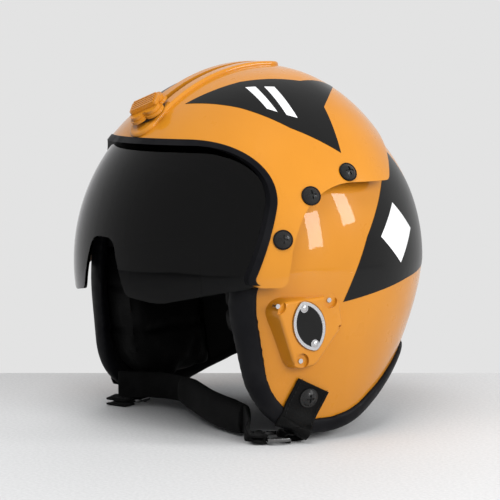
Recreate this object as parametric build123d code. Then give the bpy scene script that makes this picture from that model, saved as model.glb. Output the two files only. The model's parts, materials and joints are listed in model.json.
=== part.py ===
"""Pilot flight helmet: painted shell, smoked visor under a housing, liner, pads and chin strap.

X runs to the wearer's left, -Y is the front and +Z is up. The files are seated so that the helmet stands
on Z = 0; in the values below it stands at GROUND_Z.
"""
from build123d import *
from functools import cache
from math import cos, pi, radians, sin, sqrt, tan
import os

# Outer shell: a dome of ellipsoid quarters over sections given as (z, half width, front, back)
GROUND_Z = 3.6
SHELL_HALF_WIDTH = 123.0
SHELL_FRONT = 119.0
SHELL_BACK = 136.0
SHELL_UP = 134.0
SHELL_CENTRE_Z = 123.5
LOWER_SECTIONS = [
    (123.5, 123.0, 119.0, 136.0),
    (112.0, 122.7, 119.6, 134.0),
    (100.0, 122.0, 120.5, 130.5),
    (75.0, 119.5, 123.5, 119.5),
    (50.0, 116.0, 132.0, 103.5),
    (25.0, 111.0, 147.0, 83.0),
    (0.0, 104.0, 162.0, 62.0),
]
SHELL_WALL = 4.0
SOFT_GAP = 0.4
BOND_GAP = 0.3

# Edge of the shell in side view
BROW_Z = 201.0
BROW_CORNER_Y = -62.0
BROW_CORNER_RADIUS = 30.0
CHEEK_Y = -75.5
CHEEK_Z = 103.0
CHEEK_RADIUS = 90.0
JAW_Y = -62.0
RIM_Z = 15.0
JAW_RADIUS = 48.0
RIM_BACK_Y = 4.0
RIM_BACK_RADIUS = 80.0
NAPE_Y = 85.0
NAPE_Z = 57.0
NAPE_RADIUS = 60.0

# Rubber edge trim
TRIM_REACH = 5.5
TRIM_COVER = 6.0
TRIM_OUTSIDE = 2.2
TRIM_INSIDE = 3.0
TRIM_GAP = 1.0
TRIM_RELIEF = 8.0

# Visor and its housing turn about one axis across the head
AXIS_Y = 10.0
AXIS_Z = 122.0
VISOR_RADIUS = 142.0
VISOR_HALF_WIDTH = 133.0
VISOR_THICKNESS = 2.4
VISOR_TRAVEL = 38.0
VISOR_TOP_ANGLE = 53.0
VISOR_SIDE_X = 108.5
VISOR_SIDE_Z = 117.0
LOBE_X = 54.0
LOBE_Z = 103.0
LOBE_RADIUS = 40.0
NOTCH_HALF_WIDTH = 27.0
NOTCH_TOP_Z = 147.0
NOTCH_CORNER_RADIUS = 7.0
NOTCH_LOW_Z = 107.0
NOTCH_TOP_HALF_WIDTH = 13.0
NOTCH_TOP_RADIUS = 11.0
VISOR_CORNER_RADIUS = 8.0

# Visor housing
HOUSING_GAP = 1.0
HOUSING_WALL = 3.0
HOUSING_BACK = 101.0
SKIRT_WALL = 2.6
BRIM_Z = 215.0
TEMPLE_Y = -59.0
TEMPLE_RADIUS = 30.0
TEMPLE_LOW_Z = 178.0
TEMPLE_LOW_RADIUS = 40.0
TAIL_FRONT_Y = -81.0
TAIL_Z = 117.0
TAIL_BACK_Y = -58.0
TAIL_RADIUS = 6.0
TAIL_RISE_Y = -53.0
TAIL_RISE_Z = 146.0
TAIL_RISE_RADIUS = 60.0
SIDE_Y = -34.0
SIDE_Z = 187.0
SIDE_RADIUS = 50.0
HEEL_Y = 37.0
HEEL_RADIUS = 8.0
REAR_Y = 84.0
REAR_Z = 250.0

# Ridge and slot on the centre line of the housing
KNOB_ANGLE = 49.0
RIDGE_HALF_WIDTH = 13.0
RIDGE_HEIGHT = 2.5
RIDGE_MARGIN = 9.0
RIDGE_EDGE_RADIUS = 2.2
SLOT_HALF_WIDTH = 3.6

# Rubber strip on the front edge of the housing
GASKET_REACH = 2.6
GASKET_COVER = 1.6
GASKET_PROUD = 0.8
GASKET_INSIDE = 0.5
GASKET_END = 2.0
GASKET_TURN = 13.0

# Visor carrier, lock post and knob
CARRIER_THICKNESS = 1.6
CARRIER_GAP = 0.2
CARRIER_HALF_WIDTH = 17.0
CARRIER_STEP = 3.6
CARRIER_RIVET_X = 12.0
CARRIER_RIVET_STEP = 1.8
CARRIER_RIVET_RADIUS = 1.2
CARRIER_RIVET_HEAD_RADIUS = 2.2
CARRIER_RIVET_HEAD_HEIGHT = 0.4
POST_RADIUS = 3.0
POST_GAP = 0.08
POST_FLANGE_RADIUS = 5.0
POST_FLANGE_THICKNESS = 0.3
WASHER_RADIUS = 12.0
WASHER_THICKNESS = 1.4
PETAL_RADIUS = 7.6
PETAL_PLACE = 8.6
KNOB_CORE_RADIUS = 9.5
KNOB_HEIGHT = 5.0
KNOB_SKIRT_HEIGHT = 2.2
GRIP_LENGTH = 23.0
GRIP_WIDTH = 13.0
GRIP_HEIGHT = 2.6
GRIP_RIBS = 5
GRIP_RIB_WIDTH = 1.4
GRIP_RIB_HEIGHT = 1.0
PETAL_STEP = 1.6
GRIP_CORNER_RADIUS = 2.0
KNOB_GAP = 0.3
KNOB_TILT = 35.0
KNOB_TURN = 90.0

# Side rails that carry the visor's ends
RAIL_WIDTH = 8.0
RAIL_GAP = 0.5
RAIL_INSET = 3.5
RAIL_LIP = 3.0
RAIL_BOTTOM_ANGLE = -5.0
RAIL_TOP_ANGLE = 84.0

# Housing screws
SCREW_PLACES = [(-59.1, 149.8), (-35.5, 178.8), (-2.6, 193.9)]
SCREW_HEAD_RADIUS = 5.9
SCREW_HEAD_HEIGHT = 2.6
SCREW_SHANK_RADIUS = 2.4
SCREW_HOLE_GAP = 0.3
SCREW_WASHER_RADIUS = 6.9
SCREW_WASHER_THICKNESS = 1.0
SPACER_RADIUS = 3.8
SCREW_REACH = 22.0
WASHER_FOOT = 1.5
CROSS_WIDTH = 1.3
CROSS_LENGTH = 6.4
CROSS_DEPTH = 1.5
NUT_FLANGE_RADIUS = 7.5
NUT_FLANGE_THICKNESS = 1.4
NUT_BARREL_RADIUS = 3.8
NUT_BARREL_LENGTH = 5.0

# Ear boss moulded in each side of the shell
BOSS_OUTLINE = [(-70.5, 110.0), (-11.0, 113.0), (-7.0, 86.0), (-31.0, 57.0), (-52.0, 56.0)]
BOSS_CORNER_RADIUS = 12.0
BOSS_FACE_X = 121.3
BOSS_FACE_Y = -39.3
BOSS_FACE_Z = 88.5
BOSS_TOE = 6.5
BOSS_DRAFT = 12.0
BOSS_DEPTH = 24.0
BOSS_EDGE_RADIUS = 2.5
BOSS_INSET = 4.0
PIN_PLACES = [(-62.8, 104.2), (-21.3, 105.7), (-44.3, 64.7)]
PIN_RADIUS = 1.7
PIN_PROUD = 0.9
PIN_LENGTH = 4.0
POCKET_RADIUS = 5.6
POCKET_DEPTH = 2.6
VENT_PLACE = (-13.3, 86.2)
VENT_RADIUS = 1.5
VENT_DEPTH = 3.0

# Badge plate on the ear boss
BADGE_LENGTH = 37.0
BADGE_WIDTH = 25.0
BADGE_THICKNESS = 2.0
BADGE_PROUD = 1.1
BADGE_RIM = 2.2
BADGE_RECESS = 0.5
BADGE_TILT = 19.0
BADGE_PLACE = (-39.0, 89.1)
BADGE_TIP_RADIUS = 4.0
BADGE_SEAT_MARGIN = 0.5
BADGE_POCKET_GAP = 1.0
BADGE_RIVET_PITCH = 27.0
BADGE_RIVET_RADIUS = 2.6
BADGE_RIVET_PROUD = 1.0
BADGE_RIVET_LENGTH = 7.0
RIVET_SHANK_RADIUS = 1.4

# Energy liner and comfort pads
LINER_THICKNESS = 20.0
PAD_THICKNESS = 13.0
CHEEK_TOP_Z = 128.0
CHEEK_BACK_Y = 24.0
CHEEK_PAD_THICKNESS = 30.0
BROW_PAD_ANGLES = (30.0, 66.0)
CROWN_PAD_ANGLES = (70.0, 124.0)
REAR_PAD_ANGLES = (128.0, 176.0)
PAD_HALF_WIDTH = 58.0
NAPE_ROLL_THICKNESS = 17.0
NAPE_ROLL_HALF_WIDTH = 45.0
NAPE_ROLL_TOP_Z = 84.0

# Chin strap
TAB_WIDTH = 28.0
TAB_THICKNESS = 2.0
TAB_SCREW_Y = -31.9
TAB_SCREW_Z = 37.2
TAB_LEAN = 25.0
TAB_ABOVE = 9.0
TAB_BELOW = 27.5
TAB_CORNER_RADIUS = 3.0
TAB_SCREW_LENGTH = 5.2
RING_X = 92.0
RING_Y = -46.0
RING_TURN = -20.5
RING_LENGTH = 18.0
RING_WIDTH = 28.0
RING_BAR = 3.0
RING_CORNER_RADIUS = 4.0
RING_EDGE_RADIUS = 1.0
LOOP_WIDTH = 19.0
LOOP_GAP = 0.3
WEB_LOOP_GAP = 0.5
TAB_TONGUE = 4.0
NEAR_TONGUE = 12.0
FAR_TONGUE = 13.0
SLEEVE_THICKNESS = 8.0
SLEEVE_WIDTH = 24.0
SLEEVE_CORNER_RADIUS = 3.6
SLEEVE_RISE = 5.0
SLEEVE_POINTS = [(66.0, -53.0), (40.0, -53.0), (5.0, -46.0), (-32.0, -37.0)]
WEB_THICKNESS = 1.8
WEB_WIDTH = 20.0
WEB_CORNER_RADIUS = 0.8
WEB_POINTS = [(-33.5, -36.7), (-52.0, -37.0), (-69.0, -48.0), (-83.0, -63.5)]

CUT = 400.0
RADIUS_SHARE = 0.45

AXIS = (0, AXIS_Y, AXIS_Z)
HOUSING_INNER = VISOR_RADIUS + HOUSING_GAP
HOUSING_HALF = VISOR_HALF_WIDTH + HOUSING_GAP
SEAT_Y = (VISOR_RADIUS - AXIS_Y - SHELL_BACK) / 2
RING_Z = GROUND_Z + RING_BAR / 2 + LOOP_GAP + TAB_THICKNESS
SIDES = {"left": 1, "right": -1}


def egg_quarter(half, long, high, y_sign, z_sign):
    """Quarter of an ellipsoid about the origin, its poles on X."""
    ball = Rotation(0, 90, 0) * Sphere(1)
    keep = Pos(0, y_sign, z_sign) * Box(4, 2, 2)
    return scale(ball & keep, by=(half, long, high))


def lower_half(grow, y_sign):
    """Front or back half of the shell's form below its widest section."""
    sections = []
    for z, half, front, back in LOWER_SECTIONS:
        a, b = half + grow, (front if y_sign < 0 else back) + grow
        start = 180 if y_sign < 0 else 0
        arc = EllipticalCenterArc((0, 0), a, b, start_angle=start, arc_size=180)
        sections.append(Pos(0, 0, z) * make_face([arc, Line(arc @ 1, arc @ 0)]))
    return loft(sections)


@cache
def shell_egg(grow):
    """The shell's outer form, moved out by a distance."""
    half, high = SHELL_HALF_WIDTH + grow, SHELL_UP + grow
    front = egg_quarter(half, SHELL_FRONT + grow, high, -1, 1)
    back = egg_quarter(half, SHELL_BACK + grow, high, 1, 1)
    dome = Pos(0, 0, SHELL_CENTRE_Z) * (front + back)
    return dome + lower_half(grow, -1) + lower_half(grow, 1)


@cache
def round_form(grow):
    """Solid of revolution about the visor's axis, moved out from the visor's outer face."""
    half, radius = VISOR_HALF_WIDTH + grow, VISOR_RADIUS + grow
    upper = Ellipse(half, radius) & Pos(0, radius) * Rectangle(2 * half, 2 * radius)
    return Pos(*AXIS) * revolve(upper, axis=Axis.X)


@cache
def housing_egg(grow):
    """The housing's inner form, moved out by a distance."""
    half, radius = HOUSING_HALF + grow, HOUSING_INNER + grow
    front = egg_quarter(half, radius, radius, -1, 1) + egg_quarter(half, radius, radius, -1, -1)
    long = HOUSING_BACK + grow
    back = egg_quarter(half, long, radius, 1, 1) + egg_quarter(half, long, radius, 1, -1)
    return Pos(*AXIS) * (front + back)


def side_face(points):
    """Closed outline of (y, z, corner radius) points as a face in side view."""
    corners = [(y, z) for y, z, _ in points]
    face = make_face(Polyline(*corners, close=True))
    for y, z, radius in points:
        if radius:
            corner = min(face.vertices(), key=lambda v: abs(v.X - y) + abs(v.Y - z))
            face = fillet(corner, radius)
    return face


def across(face, half=CUT):
    """Side-view face pulled through the whole width."""
    plane = Plane(origin=(0, 0, 0), x_dir=(0, 1, 0), z_dir=(1, 0, 0))
    return extrude(plane * face, amount=half, both=True)


def shell_line(grow):
    """Side view of all that lies behind the shell's edge, moved out by a distance."""
    face = side_face([
        (-CUT / 2, BROW_Z, 0),
        (BROW_CORNER_Y, BROW_Z, BROW_CORNER_RADIUS),
        (CHEEK_Y, CHEEK_Z, CHEEK_RADIUS),
        (JAW_Y, RIM_Z, JAW_RADIUS),
        (RIM_BACK_Y, RIM_Z, RIM_BACK_RADIUS),
        (NAPE_Y, NAPE_Z, NAPE_RADIUS),
        (CUT / 2, NAPE_Z, 0),
        (CUT / 2, CUT, 0),
        (-CUT / 2, CUT, 0),
    ])
    return offset(face, amount=grow, kind=Kind.ARC) if grow else face


def housing_line(grow):
    """Side view of the visor housing, moved out by a distance."""
    face = side_face([
        (-CUT / 2, BRIM_Z, 0),
        (TEMPLE_Y, BRIM_Z, TEMPLE_RADIUS),
        (TEMPLE_Y, TEMPLE_LOW_Z, TEMPLE_LOW_RADIUS),
        (TAIL_FRONT_Y, TAIL_Z, TAIL_RADIUS),
        (TAIL_BACK_Y, TAIL_Z, TAIL_RADIUS),
        (TAIL_RISE_Y, TAIL_RISE_Z, TAIL_RISE_RADIUS),
        (SIDE_Y, SIDE_Z, SIDE_RADIUS),
        (HEEL_Y, SIDE_Z, HEEL_RADIUS),
        (REAR_Y, REAR_Z, 0),
        (REAR_Y, CUT, 0),
        (-CUT / 2, CUT, 0),
    ])
    return offset(face, amount=grow, kind=Kind.ARC) if grow else face


def radial(angle, radius, turn=0):
    """Plane at an angle above the front on the visor's axis, its Z pointing out."""
    out = (0, -cos(radians(angle)), sin(radians(angle)))
    place = (0, AXIS_Y + radius * out[1], AXIS_Z + radius * out[2])
    return Plane(origin=place, x_dir=(1, 0, 0), z_dir=out).rotated((0, 0, turn))


def sector(low, high):
    """Everything between two angles about the visor's axis."""
    reach = 2 * CUT
    rays = [low, (low + high) / 2, high]
    points = [(0, 0)] + [(-reach * cos(radians(a)), reach * sin(radians(a))) for a in rays]
    face = make_face(Polyline(*points, close=True))
    return across(Pos(AXIS_Y, AXIS_Z) * face)


def ring_strip(half_width, low, high, inner, outer):
    """Strip with round ends that follows a circle about the visor's axis."""
    lying = Rotation(0, 90, 0)
    band = Pos(*AXIS) * lying * Cylinder(outer, 2 * half_width)
    band -= Pos(*AXIS) * lying * Cylinder(inner, 4 * half_width)
    strip = band & sector(low, high)
    for angle in (low, high):
        plug = radial(angle, 0) * extrude(Circle(half_width), amount=CUT / 2)
        strip += plug & band
    return strip


def housing_spot(y, z, side):
    """Plane on the housing's outer surface, its Z pointing out of it."""
    half, radius = HOUSING_HALF + HOUSING_WALL, HOUSING_INNER + HOUSING_WALL
    back = radius if y < AXIS_Y else HOUSING_BACK + HOUSING_WALL
    x = side * half * sqrt(1 - ((y - AXIS_Y) / back) ** 2 - ((z - AXIS_Z) / radius) ** 2)
    normal = (x / half ** 2, (y - AXIS_Y) / back ** 2, (z - AXIS_Z) / radius ** 2)
    return Plane(origin=(x, y, z), z_dir=normal)


def shell_spot(y, z):
    """Plane on the shell's outer surface on the left, its Z pointing out of it."""
    line = Axis((0, y, z), (1, 0, 0))
    hits = [hit for face in lower_half(0, -1 if y < 0 else 1).faces() for hit in face.find_intersection_points(line)]
    point, normal = max(hits, key=lambda hit: hit[0].X)
    return Plane(origin=point, z_dir=normal if normal.X > 0 else -normal)


def tube(outer, inner, length, lift=0):
    """Ring that stands on a plane."""
    ring = Circle(outer) - Circle(inner)
    return Pos(0, 0, lift) * extrude(ring, amount=length)


def rod(radius, length, lift=0):
    """Round bar that stands on a plane."""
    return Pos(0, 0, lift) * extrude(Circle(radius), amount=length)


def truss_screw(shank_length):
    """Low domed screw with a cross recess, its head's seat at Z = 0."""
    ball = (SCREW_HEAD_RADIUS ** 2 + SCREW_HEAD_HEIGHT ** 2) / (2 * SCREW_HEAD_HEIGHT)
    head = Pos(0, 0, SCREW_HEAD_HEIGHT - ball) * Sphere(ball) & rod(SCREW_HEAD_RADIUS, ball)
    for turn in (0, 90):
        head -= Pos(0, 0, SCREW_HEAD_HEIGHT) * Rotation(0, 0, turn) * Box(CROSS_LENGTH, CROSS_WIDTH, 2 * CROSS_DEPTH)
    return head + rod(SCREW_SHANK_RADIUS, shank_length, -shank_length)


def boss_plane(side):
    """Plane on the flat face of an ear boss, its Z pointing out."""
    toe = radians(BOSS_TOE)
    return Plane(
        origin=(side * BOSS_FACE_X, BOSS_FACE_Y, BOSS_FACE_Z),
        x_dir=(side * sin(toe), cos(toe), 0),
        z_dir=(side * cos(toe), -sin(toe), 0),
    )


def on_boss(side, place, lift=0):
    """Location on the boss face from a (y, z) place in side view."""
    y, z = place
    return boss_plane(side).location * Pos((y - BOSS_FACE_Y) / cos(radians(BOSS_TOE)), side * (z - BOSS_FACE_Z), lift)


def boss():
    """Left ear boss: a flat-faced pad with sloping sides that runs into the shell."""
    tilt = cos(radians(BOSS_TOE))
    corners = [((y - BOSS_FACE_Y) / tilt, z - BOSS_FACE_Z) for y, z in BOSS_OUTLINE]
    face = make_face(Polyline(*corners, close=True))
    face = fillet(face.vertices(), BOSS_CORNER_RADIUS)
    face = offset(face, amount=-BOSS_INSET, kind=Kind.ARC)
    pad = extrude(face, amount=-BOSS_DEPTH, taper=-BOSS_DRAFT)
    pad = fillet(pad.faces().sort_by(Axis.Z)[-1].edges(), BOSS_EDGE_RADIUS)
    return boss_plane(1).location * pad


def badge_outline(grow):
    """Pointed oval with rounded tips, its long axis along Y."""
    length, width = BADGE_LENGTH / 2 + grow, BADGE_WIDTH / 2 + grow
    arc = (length ** 2 + width ** 2) / (2 * width)
    oval = Pos(arc - width, 0) * Circle(arc) & Pos(width - arc, 0) * Circle(arc)
    return fillet(oval.vertices(), BADGE_TIP_RADIUS + grow)


def badge_place(lift=0):
    """Location of the left badge on its boss."""
    return on_boss(1, BADGE_PLACE, lift) * Rotation(0, 0, BADGE_TILT)


def badge_rivet_places():
    """Places of the two rivets along a badge."""
    return [badge_place() * Pos(0, end * BADGE_RIVET_PITCH / 2) for end in (-1, 1)]


def button_head(radius, height):
    """Low dome that sits on Z = 0."""
    ball = (radius ** 2 + height ** 2) / (2 * height)
    return Pos(0, 0, height - ball) * Sphere(ball) & rod(radius, ball)


def both_sides(piece):
    """A left piece and its mirror image."""
    return {"left": piece, "right": mirror(piece, about=Plane.YZ)}


def screw_places():
    """Planes of the three left housing screws on the housing's surface."""
    return [housing_spot(y, z, 1).location for y, z in SCREW_PLACES]


def strap_place():
    """Location of the left strap screw on the shell."""
    return shell_spot(TAB_SCREW_Y, TAB_SCREW_Z).location


def make_shell(outer, inner):
    """Moulded shell with an ear boss on each side."""
    pad = boss()
    body = outer + pad
    body = body + mirror(pad, about=Plane.YZ)
    body = body - inner
    body = body & across(shell_line(0))
    cuts = [badge_place(BADGE_PROUD - BADGE_THICKNESS) * extrude(badge_outline(BADGE_POCKET_GAP), amount=CUT / 10)]
    for place in PIN_PLACES:
        cuts.append(on_boss(1, place, -POCKET_DEPTH) * rod(POCKET_RADIUS, CUT / 10))
        cuts.append(on_boss(1, place, -POCKET_DEPTH) * rod(PIN_RADIUS, PIN_LENGTH, -PIN_LENGTH))
    cuts.append(on_boss(1, VENT_PLACE) * rod(VENT_RADIUS, 2 * VENT_DEPTH, -VENT_DEPTH))
    for place in badge_rivet_places():
        cuts.append(place * rod(RIVET_SHANK_RADIUS, BADGE_RIVET_LENGTH, -BADGE_RIVET_LENGTH))
    for place in screw_places():
        cuts.append(place * rod(NUT_BARREL_RADIUS, 2 * SCREW_REACH, -SCREW_REACH))
    cuts.append(strap_place() * rod(NUT_BARREL_RADIUS, 2 * TAB_SCREW_LENGTH, -TAB_SCREW_LENGTH))
    for cut in cuts:
        body = body - cut - mirror(cut, about=Plane.YZ)
    return body


def make_trim():
    """Rubber strip that wraps the shell's whole edge."""
    band = across(shell_line(TRIM_REACH) - shell_line(-TRIM_COVER))
    strip = (shell_egg(TRIM_OUTSIDE) & band) - shell_egg(-SHELL_WALL - TRIM_INSIDE)
    groove = (shell_egg(0) & across(shell_line(0))) - shell_egg(-SHELL_WALL)
    swept = Pos(0, 0, VISOR_SIDE_Z - TRIM_RELIEF + CUT) * Box(2 * CUT, 2 * CUT, 2 * CUT)
    return (strip - (swept - round_form(-VISOR_THICKNESS - TRIM_GAP))) - groove


def make_housing():
    """Visor housing: a front that turns about the visor's axis and a skirt that lies on the shell."""
    outline = across(housing_line(0))
    body = (housing_egg(HOUSING_WALL) & outline) + (shell_egg(BOND_GAP + SKIRT_WALL) & outline)
    body = body + ridge()
    body = body - housing_egg(0) - shell_egg(BOND_GAP)
    low, high = KNOB_ANGLE, KNOB_ANGLE + VISOR_TRAVEL
    slot = ring_strip(SLOT_HALF_WIDTH, low, high, HOUSING_INNER / 2, CUT / 2)
    body = body - slot
    for place in screw_places():
        hole = place * rod(SCREW_SHANK_RADIUS + SCREW_HOLE_GAP, 2 * SCREW_REACH, -SCREW_REACH)
        body = body - hole - mirror(hole, about=Plane.YZ)
    return body


def ridge():
    """Raised rim of the slot that the lock post runs in."""
    margin = RIDGE_MARGIN / VISOR_RADIUS * 180 / pi
    top = HOUSING_INNER + HOUSING_WALL + RIDGE_HEIGHT
    low, high = KNOB_ANGLE - margin, KNOB_ANGLE + VISOR_TRAVEL + margin
    strip = ring_strip(RIDGE_HALF_WIDTH, low, high, HOUSING_INNER + HOUSING_WALL / 2, top)
    face = strip.faces().sort_by(SortBy.AREA)[-1]
    return fillet(face.edges(), RIDGE_EDGE_RADIUS)


def make_gasket(housing):
    """Rubber strip on the housing's front edge."""
    proud = HOUSING_WALL + GASKET_PROUD
    band = housing_line(GASKET_REACH) - housing_line(-GASKET_COVER)
    front = Pos(TEMPLE_Y + GASKET_COVER - CUT, CUT / 2 + TAIL_Z + GASKET_END) * Rectangle(2 * CUT, CUT)
    middle = (TAIL_FRONT_Y + TAIL_BACK_Y) / 2
    front -= Pos(middle + CUT / 2, TAIL_Z + GASKET_TURN - CUT / 2) * Rectangle(CUT, CUT)
    strip = across(band & front)
    outer = round_form(HOUSING_GAP + proud)
    inner = round_form(HOUSING_GAP - GASKET_INSIDE)
    return (strip & outer) - inner - housing


def visor_outline():
    """Front view of the visor: two lobes and a nose notch."""
    right = [
        (NOTCH_TOP_HALF_WIDTH, NOTCH_TOP_Z, NOTCH_TOP_RADIUS),
        (NOTCH_HALF_WIDTH, NOTCH_LOW_Z, NOTCH_CORNER_RADIUS),
        (LOBE_X, LOBE_Z, LOBE_RADIUS),
        (VISOR_SIDE_X, VISOR_SIDE_Z, VISOR_CORNER_RADIUS),
        (VISOR_SIDE_X, CUT, 0),
    ]
    left = [(-x, z, radius) for x, z, radius in reversed(right)]
    face = side_face(right + left)
    plane = Plane(origin=(0, AXIS_Y, 0), x_dir=(1, 0, 0), z_dir=(0, -1, 0))
    return extrude(plane * face, amount=CUT)


def make_visor():
    """Smoked lens, a part of a surface of revolution."""
    lens = round_form(0) - round_form(-VISOR_THICKNESS)
    lens = lens & visor_outline()
    lens = lens & sector(-VISOR_TRAVEL, VISOR_TOP_ANGLE)
    lens -= radial(KNOB_ANGLE, 0).location * rod(POST_RADIUS, CUT / 2)
    for place in carrier_rivets():
        lens -= place * rod(CARRIER_RIVET_RADIUS, CUT / 2, -CUT / 4)
    return lens


def carrier_rivets():
    """Places of the carrier's four rivets on the visor's outer surface."""
    places = []
    for x in (-CARRIER_RIVET_X, CARRIER_RIVET_X):
        radius = VISOR_RADIUS * sqrt(1 - (x / VISOR_HALF_WIDTH) ** 2)
        for turn in (-CARRIER_RIVET_STEP, CARRIER_RIVET_STEP):
            places.append(radial(KNOB_ANGLE + turn, radius).location * Pos(x, 0, 0))
    return places


def make_carrier():
    """Metal plate inside the visor's top edge that holds the lock post."""
    outer = VISOR_THICKNESS + CARRIER_GAP
    inner = outer + CARRIER_THICKNESS
    plate = round_form(-outer) - round_form(-inner)
    plate = plate & sector(KNOB_ANGLE - CARRIER_STEP, KNOB_ANGLE + CARRIER_STEP)
    plate = plate & Box(2 * CARRIER_HALF_WIDTH, 2 * CUT, 4 * CUT)
    for place in carrier_rivets():
        plate -= place * rod(CARRIER_RIVET_RADIUS, CUT / 2, -CUT / 4)
    return plate - radial(KNOB_ANGLE, 0).location * rod(POST_RADIUS, CUT / 2)


def make_carrier_rivets():
    """Rivets that clamp the carrier to the visor."""
    length = VISOR_THICKNESS + CARRIER_GAP + CARRIER_THICKNESS
    rivets = []
    for place in carrier_rivets():
        head = button_head(CARRIER_RIVET_HEAD_RADIUS, CARRIER_RIVET_HEAD_HEIGHT)
        tail = Pos(0, 0, -length) * Rotation(180, 0, 0) * head
        rivets.append(place * (head + tail + rod(CARRIER_RIVET_RADIUS, length, -length)))
    return rivets


def ridge_top():
    """Distance of the ridge's top from the visor's axis."""
    return HOUSING_INNER + HOUSING_WALL + RIDGE_HEIGHT


def make_post():
    """Lock post: a flange under the carrier and a shaft through the slot."""
    low = VISOR_RADIUS - VISOR_THICKNESS - CARRIER_GAP - CARRIER_THICKNESS
    top = ridge_top() + KNOB_GAP + WASHER_THICKNESS + KNOB_GAP + KNOB_HEIGHT
    post = radial(KNOB_ANGLE, 0).location * rod(POST_RADIUS, top - low, low)
    flange = radial(KNOB_ANGLE, 0).location * rod(POST_FLANGE_RADIUS, POST_FLANGE_THICKNESS, low - POST_FLANGE_THICKNESS)
    return post + flange


def make_knob_washer():
    """Black washer between the ridge and the knob."""
    low = ridge_top() + KNOB_GAP
    return radial(KNOB_ANGLE, 0).location * tube(WASHER_RADIUS, POST_RADIUS + POST_GAP, WASHER_THICKNESS, low)


def knob_place():
    """Location of the knob's underside, turned as it stands when locked."""
    low = ridge_top() + KNOB_GAP + WASHER_THICKNESS + KNOB_GAP
    return radial(KNOB_ANGLE, low).location * Rotation(0, 0, KNOB_TILT)


def make_knob():
    """Four-lobed lock knob with a ribbed grip across it."""
    body = rod(KNOB_CORE_RADIUS, KNOB_HEIGHT)
    for turn in range(4):
        body += Rotation(0, 0, 45 + 90 * turn) * Pos(PETAL_PLACE, 0) * rod(PETAL_RADIUS, KNOB_SKIRT_HEIGHT)
        step = rod(PETAL_RADIUS - PETAL_STEP, KNOB_HEIGHT)
        body += Rotation(0, 0, 45 + 90 * turn) * Pos(PETAL_PLACE, 0) * step
    grip = RectangleRounded(GRIP_LENGTH, GRIP_WIDTH, GRIP_CORNER_RADIUS)
    body += Pos(0, 0, KNOB_HEIGHT) * extrude(grip, amount=GRIP_HEIGHT)
    pitch = GRIP_WIDTH / GRIP_RIBS
    for rib in range(GRIP_RIBS):
        bar = Box(GRIP_LENGTH - 2 * GRIP_CORNER_RADIUS, GRIP_RIB_WIDTH, GRIP_RIB_HEIGHT)
        shift = (rib - (GRIP_RIBS - 1) / 2) * pitch
        body += Pos(0, shift, KNOB_HEIGHT + GRIP_HEIGHT + GRIP_RIB_HEIGHT / 2) * bar
    body -= rod(POST_RADIUS + POST_GAP, KNOB_HEIGHT + KNOB_GAP)
    return knob_place() * body


def make_rail():
    """Left rail: a block on the shell with a lip that the visor's end runs against."""
    bed = VISOR_THICKNESS + RAIL_GAP
    edge = VISOR_SIDE_X + RAIL_GAP
    rail = round_form(-bed) & slab(VISOR_SIDE_X - RAIL_WIDTH, edge + RAIL_LIP)
    lip = round_form(HOUSING_GAP - BOND_GAP) & slab(edge, edge + RAIL_LIP)
    rail = (rail + lip) & sector(RAIL_BOTTOM_ANGLE, RAIL_TOP_ANGLE)
    rail = rail & across(housing_line(-RAIL_INSET))
    rail -= shell_egg(TRIM_OUTSIDE + BOND_GAP)
    for place in screw_places():
        rail -= place * rod(SPACER_RADIUS + BOND_GAP, 2 * SCREW_REACH, -SCREW_REACH)
    return rail


def slab(low, high):
    """Everything between two distances to the left."""
    return Pos((low + high) / 2, 0, 0) * Box(high - low, 4 * CUT, 4 * CUT)


def make_screws():
    """The three left housing screws, cut off behind their nuts."""
    end = shell_egg(-SHELL_WALL - NUT_FLANGE_THICKNESS)
    return [place * Pos(0, 0, SCREW_WASHER_THICKNESS) * truss_screw(SCREW_REACH) - end for place in screw_places()]


def make_washers():
    """Rubber washers under the housing screws, shaped to the housing."""
    washers = []
    for place in screw_places():
        hole = SCREW_SHANK_RADIUS + SCREW_HOLE_GAP
        ring = place * tube(SCREW_WASHER_RADIUS, hole, WASHER_FOOT + SCREW_WASHER_THICKNESS, -WASHER_FOOT)
        washers.append(ring - housing_egg(HOUSING_WALL))
    return washers


def make_spacers():
    """Sleeves that hold the housing off the shell at each screw."""
    spacers = []
    for place in screw_places():
        sleeve = place * tube(SPACER_RADIUS, SCREW_SHANK_RADIUS + SCREW_HOLE_GAP, SCREW_REACH, -SCREW_REACH)
        spacers.append(((sleeve & housing_egg(0)) - shell_egg(BOND_GAP)) & slab(VISOR_SIDE_X + RAIL_GAP, CUT))
    return spacers


def make_nuts(places, reach):
    """Flanged nuts in the shell wall, their flanges against its inner face."""
    nuts = []
    inside = shell_egg(-SHELL_WALL - NUT_FLANGE_THICKNESS)
    for place in places:
        barrel = place * tube(NUT_BARREL_RADIUS, SCREW_SHANK_RADIUS, 2 * reach, -reach)
        flange = place * tube(NUT_FLANGE_RADIUS, SCREW_SHANK_RADIUS, reach, -reach)
        nuts.append(((barrel & shell_egg(0)) - inside) + ((flange & shell_egg(-SHELL_WALL)) - inside))
    return nuts


def make_liner():
    """Energy-absorbing liner: the crown, back and sides, open where the cheek pads sit."""
    outer = SHELL_WALL + SOFT_GAP
    body = shell_egg(-outer) - shell_egg(-outer - LINER_THICKNESS)
    body = body & across(shell_line(-TRIM_COVER - SOFT_GAP))
    body -= cheek_zone(0)
    body -= nape_zone(SOFT_GAP)
    for place in screw_places() + [strap_place()]:
        pocket = place * rod(NUT_FLANGE_RADIUS + SOFT_GAP, 2 * SCREW_REACH, -SCREW_REACH)
        pocket = pocket - shell_egg(-outer - NUT_FLANGE_THICKNESS)
        body = body - pocket - mirror(pocket, about=Plane.YZ)
    return body


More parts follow.
